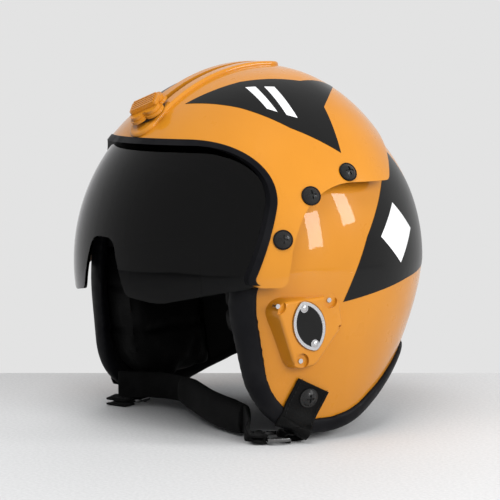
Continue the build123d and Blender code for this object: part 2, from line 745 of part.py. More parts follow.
def cheek_zone(gap):
    """Space of the two cheek pads, less a gap at its top and back."""
    low = Pos(CHEEK_BACK_Y - gap - CUT / 2, CHEEK_TOP_Z - gap - CUT / 2) * Rectangle(CUT, CUT)
    return across(low)


def make_cheek_pad():
    """Left cheek pad, which fills the space between the shell and the face."""
    outer = SHELL_WALL + SOFT_GAP
    pad = (shell_egg(-outer) - shell_egg(-outer - CHEEK_PAD_THICKNESS)) & cheek_zone(SOFT_GAP)
    pad = pad & across(shell_line(-TRIM_COVER - SOFT_GAP)) & slab(0, CUT)
    pocket = strap_place() * rod(NUT_FLANGE_RADIUS + SOFT_GAP, 2 * SCREW_REACH, -SCREW_REACH)
    return pad - (pocket - shell_egg(-outer - NUT_FLANGE_THICKNESS))


def comfort_pad(angles):
    """Pad on the liner's inside between two angles about the visor's axis."""
    outer = SHELL_WALL + SOFT_GAP + LINER_THICKNESS + SOFT_GAP
    pad = (shell_egg(-outer) - shell_egg(-outer - PAD_THICKNESS)) & sector(*angles)
    pad = pad & across(shell_line(-TRIM_COVER - SOFT_GAP))
    return pad & slab(-PAD_HALF_WIDTH, PAD_HALF_WIDTH)


def nape_zone(gap):
    """Space of the nape roll, grown by a gap."""
    half, top = NAPE_ROLL_HALF_WIDTH + gap, NAPE_ROLL_TOP_Z + gap
    return Pos(0, CUT / 2, (GROUND_Z + top) / 2) * Box(2 * half, CUT, top - GROUND_Z)


def make_nape_roll():
    """Roll behind the neck, which hangs from the liner inside the trim."""
    outer = SHELL_WALL + TRIM_INSIDE + SOFT_GAP
    return (shell_egg(-outer) - shell_egg(-outer - NAPE_ROLL_THICKNESS)) & nape_zone(0)


def tab_outline(grow):
    """Side view of the left strap tab."""
    length = TAB_ABOVE + TAB_BELOW + 2 * grow
    shape = RectangleRounded(TAB_WIDTH + 2 * grow, length, TAB_CORNER_RADIUS)
    shift = (TAB_ABOVE - TAB_BELOW) / 2
    return Pos(TAB_SCREW_Y, TAB_SCREW_Z) * Rotation(0, 0, -TAB_LEAN) * Pos(0, shift) * shape


def make_tab():
    """Left leather tab: it lies on the shell, steps over the trim and hangs below it."""
    prism = across(tab_outline(0)) & slab(0, CUT)
    low, high = TRIM_OUTSIDE + BOND_GAP, TRIM_OUTSIDE + BOND_GAP + TAB_THICKNESS
    over_trim = shell_egg(high) - shell_egg(low)
    on_shell = shell_egg(BOND_GAP + TAB_THICKNESS) - shell_egg(BOND_GAP)
    step = shell_egg(high) - shell_egg(BOND_GAP)
    inner = across(shell_line(-TRIM_COVER - BOND_GAP))
    far = across(shell_line(-TRIM_COVER - BOND_GAP - TAB_THICKNESS))
    tab = ((over_trim & prism) - inner) + ((step & prism & inner) - far) + (on_shell & prism & inner)
    return tab - strap_place() * rod(SCREW_SHANK_RADIUS, CUT / 10, -CUT / 20)


def make_strap_screw():
    """Left strap screw on its washer, its seat on the tab."""
    seat = BOND_GAP + TAB_THICKNESS + SCREW_WASHER_THICKNESS
    return strap_place() * Pos(0, 0, seat) * truss_screw(seat + TAB_SCREW_LENGTH)


def make_strap_washer():
    """Left washer under the strap screw."""
    low = BOND_GAP + TAB_THICKNESS
    return strap_place() * tube(SCREW_WASHER_RADIUS, SCREW_SHANK_RADIUS, SCREW_WASHER_THICKNESS, low)


def make_pins():
    """Three left rivets of the ear boss."""
    rivets = []
    for place in PIN_PLACES:
        rivets.append(on_boss(1, place, -POCKET_DEPTH) * rod(PIN_RADIUS, PIN_LENGTH + PIN_PROUD, -PIN_LENGTH))
    return rivets


def make_badge():
    """Left badge plate: a raised rim round a plain field."""
    low = BADGE_PROUD - BADGE_THICKNESS
    plate = extrude(badge_outline(0), amount=BADGE_THICKNESS)
    field = extrude(badge_outline(-BADGE_RIM), amount=BADGE_THICKNESS)
    for end in (-1, 1):
        field -= Pos(0, end * BADGE_RIVET_PITCH / 2) * rod(BADGE_RIVET_RADIUS + BADGE_SEAT_MARGIN, BADGE_THICKNESS)
    plate -= Pos(0, 0, BADGE_THICKNESS - BADGE_RECESS) * field
    plate = badge_place(low) * plate
    for place in badge_rivet_places():
        plate -= place * rod(RIVET_SHANK_RADIUS, 2 * BADGE_RIVET_LENGTH, -BADGE_RIVET_LENGTH)
    return plate


def make_badge_rivets():
    """Domed rivets of the left badge."""
    head = button_head(BADGE_RIVET_RADIUS, BADGE_RIVET_PROUD)
    rivet = head + rod(RIVET_SHANK_RADIUS, BADGE_RIVET_LENGTH, -BADGE_RIVET_LENGTH)
    return [place * Pos(0, 0, BADGE_PROUD) * rivet for place in badge_rivet_places()]


def ring_place():
    """Location of the strap ring's centre: X along its bars, Y towards the tab."""
    return Pos(RING_X, RING_Y, RING_Z) * Rotation(0, 0, RING_TURN)


def make_ring():
    """Metal strap ring with two bars."""
    outer = RectangleRounded(RING_WIDTH, RING_LENGTH, RING_CORNER_RADIUS)
    hole = RectangleRounded(RING_WIDTH - 2 * RING_BAR, RING_LENGTH - 2 * RING_BAR, RING_CORNER_RADIUS / 2)
    ring = extrude(outer - hole, amount=RING_BAR / 2, both=True)
    ring = fillet(ring.edges().filter_by(Plane.XY), RING_EDGE_RADIUS)
    return ring_place() * ring


def tab_zone():
    """Everything inside the tab's outer face, down to the trim's underside."""
    return shell_egg(TRIM_OUTSIDE + BOND_GAP + TAB_THICKNESS + BOND_GAP) & across(shell_line(TRIM_REACH + BOND_GAP))


def strap_loop(end, gap, wall, tongue):
    """Strap that folds round a ring bar and runs on from it; end is 1 towards the tab."""
    bar = end * (RING_LENGTH - RING_BAR) / 2
    inner = RING_BAR / 2 + gap
    section = Circle(inner + wall) + Pos(end * tongue / 2, 0) * Rectangle(tongue, 2 * (inner + wall))
    section -= Circle(inner)
    plane = Plane(origin=(0, bar, 0), x_dir=(0, 1, 0), z_dir=(1, 0, 0))
    return ring_place() * extrude(plane * section, amount=LOOP_WIDTH / 2, both=True)


def corner_radii(points):
    """Largest radius that each corner of a route leaves room for."""
    radii = []
    for before, corner, after in zip(points, points[1:], points[2:]):
        run_in, run_out = Vector(corner) - Vector(before), Vector(after) - Vector(corner)
        turn = radians(run_in.get_angle(run_out))
        radii.append(RADIUS_SHARE * min(run_in.length, run_out.length) / tan(turn / 2))
    return radii


def strap_run(points, plane, section):
    """Flat strap along a route in a plane, its section drawn with the width along X."""
    path = plane * FilletPolyline(*points, radius=corner_radii(points))
    start = Plane(origin=path @ 0, x_dir=plane.z_dir, z_dir=path % 0)
    return sweep(start * section, path=path)


def make_sleeve():
    """Padded sleeve of the chin strap."""
    first, last = SLEEVE_POINTS[0], SLEEVE_POINTS[-1]
    run = first[0] - last[0]
    length = sqrt(run ** 2 + SLEEVE_RISE ** 2)
    plane = Plane(origin=(last[0], 0, web_z()), x_dir=(run, 0, -SLEEVE_RISE), z_dir=(SLEEVE_RISE, 0, run))
    points = [((x - last[0]) * length / run, y) for x, y in SLEEVE_POINTS]
    return strap_run(points, plane, RectangleRounded(SLEEVE_WIDTH, SLEEVE_THICKNESS, SLEEVE_CORNER_RADIUS))


def web_z():
    """Height of the middle of the webbing, which runs above the right ring's tongue."""
    return RING_Z + RING_BAR / 2 + WEB_LOOP_GAP + WEB_THICKNESS + BOND_GAP + WEB_WIDTH / 2


def make_web():
    """Webbing that runs on from the sleeve and ends in a free tail."""
    plane = Plane(origin=(0, 0, web_z()), x_dir=(1, 0, 0), z_dir=(0, 0, 1))
    return strap_run(WEB_POINTS, plane, RectangleRounded(WEB_WIDTH, WEB_THICKNESS, WEB_CORNER_RADIUS))


def make_parts():
    """Every node of the helmet with its solids."""
    parts = {}
    shell = make_shell(shell_egg(0), shell_egg(-SHELL_WALL))
    housing = make_housing()
    parts["shell"] = shell
    parts["edge_trim"] = make_trim()
    parts["visor_housing"] = housing
    parts["housing_gasket"] = make_gasket(housing)
    lens, carrier = make_visor(), make_carrier()
    parts["visor_lens"] = lens
    parts["visor_carrier"] = carrier
    parts["carrier_rivets"] = [rivet - lens - carrier for rivet in make_carrier_rivets()]
    parts["lock_post"] = make_post() - carrier
    parts["knob_washer"] = make_knob_washer()
    parts["lock_knob"] = make_knob()
    parts["energy_liner"] = make_liner()
    parts["brow_pad"] = comfort_pad(BROW_PAD_ANGLES)
    parts["crown_pad"] = comfort_pad(CROWN_PAD_ANGLES)
    parts["rear_pad"] = comfort_pad(REAR_PAD_ANGLES)
    parts["nape_roll"] = make_nape_roll()
    pairs = {
        "visor_rail": make_rail(),
        "cheek_pad": make_cheek_pad(),
        "badge": make_badge(),
        "strap_tab": make_tab(),
        "strap_ring": make_ring(),
    }
    for name, piece in pairs.items():
        for side, solid in both_sides(piece).items():
            parts[f"{name}_{side}"] = solid
    groups = {
        "housing_screws": make_screws(),
        "screw_washers": make_washers(),
        "housing_spacers": make_spacers(),
        "housing_nuts": make_nuts(screw_places(), SCREW_REACH),
        "strap_screws": [make_strap_screw()],
        "strap_washers": [make_strap_washer()],
        "strap_nuts": make_nuts([strap_place()], TAB_SCREW_LENGTH),
        "boss_pins": make_pins(),
        "badge_rivets": make_badge_rivets(),
    }
    for name, solids in groups.items():
        parts[name] = solids + [mirror(solid, about=Plane.YZ) for solid in solids]
    tab_loop = strap_loop(1, LOOP_GAP, TAB_THICKNESS, TAB_TONGUE) - tab_zone()
    parts["tab_loops"] = [tab_loop, mirror(tab_loop, about=Plane.YZ)]
    parts["strap_loop_left"] = strap_loop(-1, WEB_LOOP_GAP, WEB_THICKNESS, NEAR_TONGUE)
    far = strap_loop(-1, WEB_LOOP_GAP, WEB_THICKNESS, FAR_TONGUE)
    parts["strap_loop_right"] = mirror(far, about=Plane.YZ)
    parts["strap_sleeve"] = make_sleeve()
    parts["strap_web"] = make_web()
    return parts


def save(parts):
    """Write each node to its own file, centred front to back and standing on Z = 0."""
    os.makedirs("parts", exist_ok=True)
    for name, solids in parts.items():
        items = solids if isinstance(solids, list) else [solids]
        moved = [Pos(0, SEAT_Y, -GROUND_Z) * solid for item in items for solid in item.solids()]
        export_step(moved[0] if len(moved) == 1 else Compound(children=moved), f"parts/{name}.step")


if __name__ == "__main__":
    save(make_parts())
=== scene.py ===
"""Looks of the pilot flight helmet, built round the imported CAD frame."""
import bmesh
import bpy
import json
from math import atan2, cos, pi, radians, sin
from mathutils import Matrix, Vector
from mathutils.bvhtree import BVHTree


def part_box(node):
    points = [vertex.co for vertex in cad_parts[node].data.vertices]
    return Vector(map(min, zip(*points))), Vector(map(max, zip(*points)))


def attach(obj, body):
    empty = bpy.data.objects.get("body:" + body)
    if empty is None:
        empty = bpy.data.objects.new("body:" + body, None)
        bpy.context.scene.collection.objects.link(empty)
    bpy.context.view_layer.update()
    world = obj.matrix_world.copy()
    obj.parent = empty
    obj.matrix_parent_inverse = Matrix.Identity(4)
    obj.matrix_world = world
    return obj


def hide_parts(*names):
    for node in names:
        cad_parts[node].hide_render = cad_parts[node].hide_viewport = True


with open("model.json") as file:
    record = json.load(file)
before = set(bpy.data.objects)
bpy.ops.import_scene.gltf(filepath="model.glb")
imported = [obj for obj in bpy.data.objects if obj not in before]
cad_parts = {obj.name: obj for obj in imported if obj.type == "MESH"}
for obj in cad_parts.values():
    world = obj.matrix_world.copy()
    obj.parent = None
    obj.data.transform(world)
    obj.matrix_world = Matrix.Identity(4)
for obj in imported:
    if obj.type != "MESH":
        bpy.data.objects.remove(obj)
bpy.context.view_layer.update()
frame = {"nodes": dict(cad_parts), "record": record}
nodes = frame["nodes"]
scene = bpy.context.scene

MM = 0.001
UP = Vector((0, 0, 1))

# From the part's own values to the frame, in millimetres: added to y, and taken from z
SEAT_Y = -2.0
GROUND_Z = 3.6

# Camera and table, in degrees and metres; the target is in the part's own values
VIEW_AZIMUTH = 53.0
VIEW_ELEVATION = 6.2
VIEW_DISTANCE = 1.4
VIEW_LENS = 134.06
SENSOR_WIDTH = 36.0
NEAR_CLIP = 0.01
TARGET = (2.0, 0.0, 129.0)
TABLE_BEYOND = 0.18
TABLE_NEAR = 1.6
TABLE_HALF_WIDTH = 1.6
TABLE_THICKNESS = 0.03

# Backdrop and soft light
BACKDROP = 0.768
SOFT_TINT = (0.92, 0.95, 1.0, 1)
SOFT_STRENGTH = 0.24

# Lamp faces, in metres
WINDOW = (0.28, 0.5)
PANEL = (1.0, 1.0)
SMALL_PANEL = (0.8, 0.8)


def place(x, y, z):
    """A point given in the part's own values, in metres in the frame."""
    return Vector((x, y + SEAT_Y, z - GROUND_Z)) * MM


def flip(point):
    """A point's mirror image across the helmet's middle."""
    return Vector((-point[0], point[1], point[2]))


def direction(azimuth, elevation):
    """Unit vector from the helmet, its azimuth counted from the front towards the wearer's left."""
    turn, lift = radians(azimuth), radians(elevation)
    return Vector((sin(turn) * cos(lift), -cos(turn) * cos(lift), sin(lift)))


# Materials

RAMP_LOW = 0.35
RAMP_HIGH = 0.65
BOTH_NORMALS = ("Normal", "Coat Normal")
PAINT_BASE = (0.5, 0.195, 0.015)
PAINT_LIGHT = (0.53, 0.205, 0.014)
PAINT_DEEP = (0.48, 0.180, 0.011)
LENS_TINT = (0.026, 0.023, 0.030)
LENS_INDEX = 1.25
METAL_GRAIN = 500.0
FOAM_CELLS = 350.0
WEAVE_SCALE = 450.0


def shader(name, color, rough, metallic=0.0, coat=0.0, coat_rough=0.05, specular=0.5):
    """A Principled material and its main nodes."""
    material = bpy.data.materials.new(name)
    material.use_nodes = True
    tree = material.node_tree
    surface = tree.nodes["Principled BSDF"]
    surface.inputs["Base Color"].default_value = (*color, 1)
    surface.inputs["Roughness"].default_value = rough
    surface.inputs["Metallic"].default_value = metallic
    surface.inputs["Coat Weight"].default_value = coat
    surface.inputs["Coat Roughness"].default_value = coat_rough
    surface.inputs["Specular IOR Level"].default_value = specular
    return material, tree, surface


def noise(tree, scale, detail=3.0):
    """Noise in the piece's own coordinates."""
    where = tree.nodes.new("ShaderNodeTexCoord")
    grain = tree.nodes.new("ShaderNodeTexNoise")
    grain.inputs["Scale"].default_value = scale
    grain.inputs["Detail"].default_value = detail
    tree.links.new(where.outputs["Object"], grain.inputs["Vector"])
    return grain.outputs["Fac"]


def cells(tree, scale):
    """A pattern of cells in the piece's own coordinates."""
    where = tree.nodes.new("ShaderNodeTexCoord")
    pattern = tree.nodes.new("ShaderNodeTexVoronoi")
    pattern.inputs["Scale"].default_value = scale
    tree.links.new(where.outputs["Object"], pattern.inputs["Vector"])
    return pattern.outputs["Distance"]


def weave(tree):
    """Crossed threads: waves in two directions, multiplied."""
    where = tree.nodes.new("ShaderNodeTexCoord")
    total = tree.nodes.new("ShaderNodeMath")
    total.operation = "MULTIPLY"
    for number, bands in enumerate(("X", "Z")):
        wave = tree.nodes.new("ShaderNodeTexWave")
        wave.bands_direction = bands
        wave.inputs["Scale"].default_value = WEAVE_SCALE
        wave.inputs["Distortion"].default_value = 0.4
        tree.links.new(where.outputs["Object"], wave.inputs["Vector"])
        tree.links.new(wave.outputs["Fac"], total.inputs[number])
    return total.outputs["Value"]


def vary(tree, surface, source, socket, low, high):
    """Drives a socket between two values or colours by a pattern."""
    ramp = tree.nodes.new("ShaderNodeValToRGB")
    ramp.color_ramp.elements[0].position = RAMP_LOW
    ramp.color_ramp.elements[1].position = RAMP_HIGH
    ramp.color_ramp.elements[0].color = (*low, 1)
    ramp.color_ramp.elements[1].color = (*high, 1)
    tree.links.new(source, ramp.inputs["Fac"])
    tree.links.new(ramp.outputs["Color"], surface.inputs[socket])


def bump(tree, surface, source, strength, distance, sockets=("Normal",)):
    """Relief from a pattern, its distance in millimetres."""
    relief = tree.nodes.new("ShaderNodeBump")
    relief.inputs["Strength"].default_value = strength
    relief.inputs["Distance"].default_value = distance * MM
    tree.links.new(source, relief.inputs["Height"])
    for socket in sockets:
        tree.links.new(relief.outputs["Normal"], surface.inputs[socket])


def grey(value):
    """A neutral colour."""
    return (value, value, value)


def make_paint():
    """Orange paint under a clear coat."""
    material, tree, surface = shader("paint", PAINT_BASE, rough=0.32, coat=0.6, coat_rough=0.035,
                                     specular=0.1)
    vary(tree, surface, noise(tree, scale=9.0), "Base Color", low=PAINT_LIGHT, high=PAINT_DEEP)
    vary(tree, surface, noise(tree, scale=60.0), "Roughness", low=grey(0.27), high=grey(0.38))
    bump(tree, surface, noise(tree, scale=420.0, detail=1.0), strength=0.05, distance=0.2,
         sockets=BOTH_NORMALS)
    return material


def make_rubber():
    """Dull black rubber with a fine grain."""
    material, tree, surface = shader("trim_rubber", grey(0.006), rough=0.5, specular=0.09)
    vary(tree, surface, noise(tree, scale=40.0), "Base Color",
         low=(0.003, 0.003, 0.004), high=(0.007, 0.007, 0.008))
    vary(tree, surface, noise(tree, scale=120.0), "Roughness", low=grey(0.42), high=grey(0.58))
    bump(tree, surface, noise(tree, scale=1400.0, detail=4.0), strength=0.25, distance=0.2)
    return material


def make_lens():
    """Smoked clear plastic, with a low index so that its even reflection stays dark."""
    material, tree, surface = shader("smoke_lens", LENS_TINT, rough=0.03)
    surface.inputs["Transmission Weight"].default_value = 1.0
    surface.inputs["IOR"].default_value = LENS_INDEX
    vary(tree, surface, noise(tree, scale=25.0), "Roughness", low=grey(0.02), high=grey(0.04))
    return material


def make_metal(name, color, rough, metallic=1.0):
    """Metal with uneven polish."""
    material, tree, surface = shader(name, color, rough, metallic=metallic)
    vary(tree, surface, noise(tree, METAL_GRAIN), "Roughness",
         low=grey(rough * 0.8), high=grey(rough * 1.25))
    bump(tree, surface, noise(tree, scale=1800.0, detail=4.0), strength=0.12, distance=0.1)
    return material


def make_leather(name, value, rough, scale):
    """Grained dark leather."""
    material, tree, surface = shader(name, grey(value), rough, specular=0.06)
    vary(tree, surface, noise(tree, scale=45.0), "Base Color",
         low=grey(value * 0.75), high=grey(value * 1.5))
    vary(tree, surface, noise(tree, scale=90.0), "Roughness",
         low=grey(rough - 0.08), high=grey(rough + 0.1))
    bump(tree, surface, cells(tree, scale), strength=0.5, distance=0.4)
    return material


def make_fabric(name, value):
    """Woven dark fabric with a little sheen."""
    material, tree, surface = shader(name, grey(value), rough=0.85, specular=0.06)
    surface.inputs["Sheen Weight"].default_value = 0.03
    surface.inputs["Sheen Roughness"].default_value = 0.5
    vary(tree, surface, noise(tree, scale=70.0), "Base Color",
         low=grey(value * 0.7), high=grey(value * 1.6))
    bump(tree, surface, weave(tree), strength=0.6, distance=0.4)
    return material


def make_foam(name, value):
    """Dull black foam or plastic with a coarse grain."""
    material, tree, surface = shader(name, grey(value), rough=0.9, specular=0.2)
    vary(tree, surface, noise(tree, scale=30.0), "Base Color",
         low=grey(value * 0.8), high=grey(value * 1.3))
    bump(tree, surface, cells(tree, FOAM_CELLS), strength=0.5, distance=0.5)
    return material


def make_vinyl(name, value):
    """Plain glossy film."""
    material, tree, surface = shader(name, grey(value), rough=0.3, coat=0.25, coat_rough=0.04,
                                     specular=0.05)
    vary(tree, surface, noise(tree, scale=30.0), "Base Color",
         low=grey(value * 0.9), high=grey(value * 1.12))
    bump(tree, surface, noise(tree, scale=420.0, detail=1.0), strength=0.05, distance=0.2,
         sockets=BOTH_NORMALS)
    return material


LOOKS = {
    "paint": make_paint(),
    "trim_rubber": make_rubber(),
    "smoke_lens": make_lens(),
    "plate_metal": make_metal("plate_metal", grey(0.45), rough=0.35),
    "black_metal": make_metal("black_metal", grey(0.02), rough=0.3, metallic=0.6),
    "bright_metal": make_metal("bright_metal", (0.55, 0.55, 0.56), rough=0.24),
    "ring_metal": make_metal("ring_metal", grey(0.16), rough=0.2),
    "liner_foam": make_foam("liner_foam", 0.008),
    "pad_leather": make_leather("pad_leather", 0.004, rough=0.55, scale=700.0),
    "rail_plastic": make_foam("rail_plastic", 0.008),
    "strap_leather": make_leather("strap_leather", 0.004, rough=0.42, scale=600.0),
    "strap_fabric": make_fabric("strap_fabric", 0.004),
}
BLACK_VINYL = make_vinyl("black_vinyl", 0.006)
WHITE_VINYL = make_vinyl("white_vinyl", 0.72)
THREAD = make_fabric("thread", 0.012)
ENAMEL = make_vinyl("enamel", 0.006)

for entry in frame["record"]["subparts"]:
    node = nodes[entry["node"]]
    node.data.materials.clear()
    node.data.materials.append(LOOKS[entry["material_slot"]])


# Inner face of the shell

SHELL_MIDDLE = place(0, 16, 110)
EAR_X = 0.112
INWARD = -0.3


def blacken_inside(node_name):
    """The liner foam's black on the faces that look towards the head, the ear bosses' own faces left out.
    """
    mesh = nodes[node_name].data
    mesh.materials.append(LOOKS["liner_foam"])
    for face in mesh.polygons:
        way = (face.center - SHELL_MIDDLE).normalized()
        if face.normal.dot(way) < INWARD and abs(face.center[0]) < EAR_X:
            face.material_index = 1


blacken_inside("shell")


# Mesh helpers

SMOOTHING = 0.5


def piece(name, verts, faces, body, material):
    """A new smooth-shaded piece that rides on a body."""
    mesh = bpy.data.meshes.new(name)
    mesh.from_pydata([tuple(v) for v in verts], [], faces)
    mesh.update()
    mesh.polygons.foreach_set("use_smooth", [True] * len(mesh.polygons))
    mesh.materials.append(material)
    obj = bpy.data.objects.new(name, mesh)
    scene.collection.objects.link(obj)
    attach(obj, body)
    return obj


def dress(obj, slot_name, node_name):
    """Shades a remeshed piece smoothly, gives it its look and puts it in a CAD node's place."""
    mesh = obj.data
    mesh.polygons.foreach_set("use_smooth", [True] * len(mesh.polygons))
    mesh.materials.clear()
    mesh.materials.append(LOOKS[slot_name])
    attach(obj, "helmet")
    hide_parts(node_name)


def on_table(point):
    """The point, or the table's surface above it."""
    return Vector((point[0], point[1], max(point[2], 0.0)))


def recalc(obj):
    """Turns the faces of a closed piece outwards."""
    work = bmesh.new()
    work.from_mesh(obj.data)
    bmesh.ops.recalc_face_normals(work, faces=work.faces)
    work.to_mesh(obj.data)
    work.free()


def tree_of(*names):
    """Ray casting tree of some CAD nodes."""
    verts, faces = [], []
    for name in names:
        mesh = nodes[name].data
        base = len(verts)
        verts.extend(v.co.copy() for v in mesh.vertices)
        faces.extend([base + i for i in p.vertices] for p in mesh.polygons)
    return BVHTree.FromPolygons(verts, faces)


def bake(obj):
    """Applies the object's modifiers to its mesh."""
    graph = bpy.context.evaluated_depsgraph_get()
    mesh = bpy.data.meshes.new_from_object(obj.evaluated_get(graph))
    obj.modifiers.clear()
    obj.data = mesh


def remeshed(name, node_name, voxel):
    """A voxel remesh of a CAD node as a new object."""
    obj = bpy.data.objects.new(name, nodes[node_name].data.copy())
    scene.collection.objects.link(obj)
    remesh = obj.modifiers.new("Remesh", "REMESH")
    remesh.mode = "VOXEL"
    remesh.voxel_size = voxel * MM
    bake(obj)
    return obj


def relax(mesh, rounds):
    """Laplacian smoothing of a mesh."""
    work = bmesh.new()
    work.from_mesh(mesh)
    for _ in range(rounds):
        bmesh.ops.smooth_vert(
            work, verts=work.verts, factor=SMOOTHING, use_axis_x=True, use_axis_y=True, use_axis_z=True)
    work.to_mesh(mesh)
    work.free()


def shift(mesh, amount):
    """Moves every vertex along its normal; amount is a length or a function of the point."""
    normals = [v.normal.copy() for v in mesh.vertices]
    for vertex, normal in zip(mesh.vertices, normals):
        step = amount(vertex.co) if callable(amount) else amount
        vertex.co = vertex.co + normal * step
    mesh.update()


# Rubber trim

TRIM_VOXEL = 1.0
TRIM_ROUNDS = 44
TRIM_GROWTH = 1.6
TRIM_LAST_ROUNDS = 26


def make_roll():
    """The edge trim as one fat, round rubber roll, grown by what the smoothing takes off."""
    roll = remeshed("edge_roll", "edge_trim", TRIM_VOXEL)
    relax(roll.data, TRIM_ROUNDS)
    shift(roll.data, TRIM_GROWTH * MM)
    relax(roll.data, TRIM_LAST_ROUNDS)
    dress(roll, "trim_rubber", "edge_trim")


make_roll()


# Cushions, in millimetres

CLOTH_FRAMES = 20
CLOTH_QUALITY = 4
CLOTH_STIFFNESS = 12
CLOTH_BENDING = 0.6
CLOTH_PRESSURE = 4.0
CLOTH_CAP = 6.0
PAD_VOXEL = 4.5
PAD_ROUNDS = 3
PAD_INSET = 1.2
CHANNEL_DEPTH = 1.8
CHANNEL_REACH = 3.5
PAD_CHANNELS = (-36.0, -12.0, 12.0, 36.0)
NAPE_CHANNELS = (-24.0, 0.0, 24.0)
CHEEK_CHANNEL_SHARES = (0.4, 0.72)


def inflate(obj):
    """Blows a closed cushion up as cloth, no point moving further than the cap."""
    start = [v.co.copy() for v in obj.data.vertices]
    cloth = obj.modifiers.new("Cloth", "CLOTH")
    cloth.settings.use_pressure = True
    cloth.settings.uniform_pressure_force = CLOTH_PRESSURE
    cloth.settings.quality = CLOTH_QUALITY
    cloth.settings.tension_stiffness = CLOTH_STIFFNESS
    cloth.settings.compression_stiffness = CLOTH_STIFFNESS
    cloth.settings.bending_stiffness = CLOTH_BENDING
    cloth.settings.effector_weights.gravity = 0
    cloth.point_cache.frame_start = 1
    cloth.point_cache.frame_end = CLOTH_FRAMES
    for number in range(1, CLOTH_FRAMES + 1):
        scene.frame_set(number)
    graph = bpy.context.evaluated_depsgraph_get()
    blown = obj.evaluated_get(graph).data
    moved = [v.co.copy() for v in blown.vertices]
    obj.modifiers.clear()
    scene.frame_set(1)
    cap = CLOTH_CAP * MM
    for vertex, old, new in zip(obj.data.vertices, start, moved):
        step = new - old
        if step.length > cap:
            step *= cap / step.length
        vertex.co = old + step
    obj.data.update()


def cushion(node_name, channels, axis):
    """A padded leather cushion in a CAD pad's place, with sewn channels across one axis."""
    pad = remeshed(node_name + "_soft", node_name, PAD_VOXEL)
    relax(pad.data, PAD_ROUNDS)
    shift(pad.data, -PAD_INSET * MM)
    inflate(pad)
    subdivide = pad.modifiers.new("Subdivision", "SUBSURF")
    subdivide.levels = subdivide.render_levels = 1
    bake(pad)

    def sewn(point):
        near = min(abs(point[axis] - channel * MM) for channel in channels)
        return -CHANNEL_DEPTH * MM * max(0.0, 1 - (near / (CHANNEL_REACH * MM)) ** 2)

    shift(pad.data, sewn)
    for vertex in pad.data.vertices:
        vertex.co = on_table(vertex.co)
    dress(pad, "pad_leather", node_name)


for pad_name in ("brow_pad", "crown_pad", "rear_pad"):
    cushion(pad_name, PAD_CHANNELS, axis=0)
cushion("nape_roll", NAPE_CHANNELS, axis=0)
for side_name in ("left", "right"):
    low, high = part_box("cheek_pad_" + side_name)
    heights = [(low[2] + (high[2] - low[2]) * share) / MM for share in CHEEK_CHANNEL_SHARES]
    cushion("cheek_pad_" + side_name, heights, axis=2)


# Straps, in millimetres and in the part's own values

STRAP_SIDES = 20
STRAP_STEPS = 4

# Powers of a strap's outline: the higher, the squarer
SQUARE = 5.0
FLAT = 6.0

# The tab: its screw is given as (y, z), its lean from upright in degrees
TAB_SCREW = (-31.9, 37.2)
TAB_LEAN = 25.0
TAB_HALF_WIDTH = 14.0
TAB_ABOVE = 9.0
TAB_BELOW = 25.0
TAB_ROWS = 14
TAB_EDGE = 0.8
TAB_GAP = 0.5
TAB_INNERMOST = 85.0
TAB_BULGE = 0.6
TAB_OUTWARD = Vector((1, -0.25, 0)).normalized()
TAB_ROUNDS = 2
TAB_SLACK = Vector((1.5, -1, -1.5))
ENTRY_AHEAD = 4.5
ENTRY_RISE = 2.9
OUTSIDE_X = 200.0
LEATHER = 2.0

# The left ring, and what is folded round its bars
RING_CENTRE = (92.0, -46.0, 7.4)
RING_TURN = -20.5
BAR_OFFSET = 7.5
TAB_FOLD = 1.8
WEB_FOLD = 2.0
FOLD_ROWS = 9
FOLDED_WIDTH = 19.0
OPENING_WIDTH = 19.5
TAB_NARROWING = 23.0
WEBBING = 1.8
WEB_WIDTH = 20.0


def section(width, thick, power):
    """Rounded outline of a strap's cross section as (across, through) pairs."""
    points = []
    for i in range(STRAP_SIDES):
        angle = 2 * pi * i / STRAP_SIDES
        c, s = cos(angle), sin(angle)
        a = width / 2 * (abs(c) ** (2 / power)) * (1 if c >= 0 else -1)
        b = thick / 2 * (abs(s) ** (2 / power)) * (1 if s >= 0 else -1)
        points.append((a, b))
    return points


def smooth_rows(rows, steps):
    """Catmull-Rom rows between the given ones."""
    out = []
    for i in range(len(rows) - 1):
        a, b, c, d = (rows[min(len(rows) - 1, max(0, i + k))] for k in (-1, 0, 1, 2))
        for n in range(steps):
            t = n / steps
            centre = 0.5 * (2 * b[0] + (c[0] - a[0]) * t + (2 * a[0] - 5 * b[0] + 4 * c[0] - d[0]) * t ** 2
                            + (3 * b[0] - a[0] - 3 * c[0] + d[0]) * t ** 3)
            across = (b[1] * (1 - t) + c[1] * t).normalized()
            out.append((centre, across, b[2] * (1 - t) + c[2] * t))
    out.append(rows[-1])
    return out


def axes(rows, i):
    """Directions along a strap, across it and out of it at one of its rows."""
    before = rows[max(0, i - 1)][0]
    after = rows[min(len(rows) - 1, i + 1)][0]
    along = (after - before).normalized()
    across = rows[i][1]
    side = (across - along * across.dot(along)).normalized()
    return along, side, side.cross(along)


def ribbon(name, rows, thick, power, slot_name, steps=STRAP_STEPS):
    """A strap along rows of (centre, across, width), with smooth runs between them."""
    rows = smooth_rows(rows, steps)
    verts, faces = [], []
    for i, (centre, _, width) in enumerate(rows):
        _, side, out = axes(rows, i)
        for a, b in section(width, thick * MM, power):
            verts.append(on_table(centre + side * a + out * b))
    for i in range(len(rows) - 1):
        first, second = i * STRAP_SIDES, (i + 1) * STRAP_SIDES
        for j in range(STRAP_SIDES):
            k = (j + 1) % STRAP_SIDES
            faces.append((first + j, first + k, second + k, second + j))
    faces.append(tuple(range(STRAP_SIDES)))
    faces.append(tuple(reversed(range(len(verts) - STRAP_SIDES, len(verts)))))
    strap = piece(name, verts, faces, "helmet", LOOKS[slot_name])
    recalc(strap)
    return strap


def mirrored(rows):
    """Rows of the same strap on the other side."""
    return [(flip(centre), flip(across), width) for centre, across, width in rows]


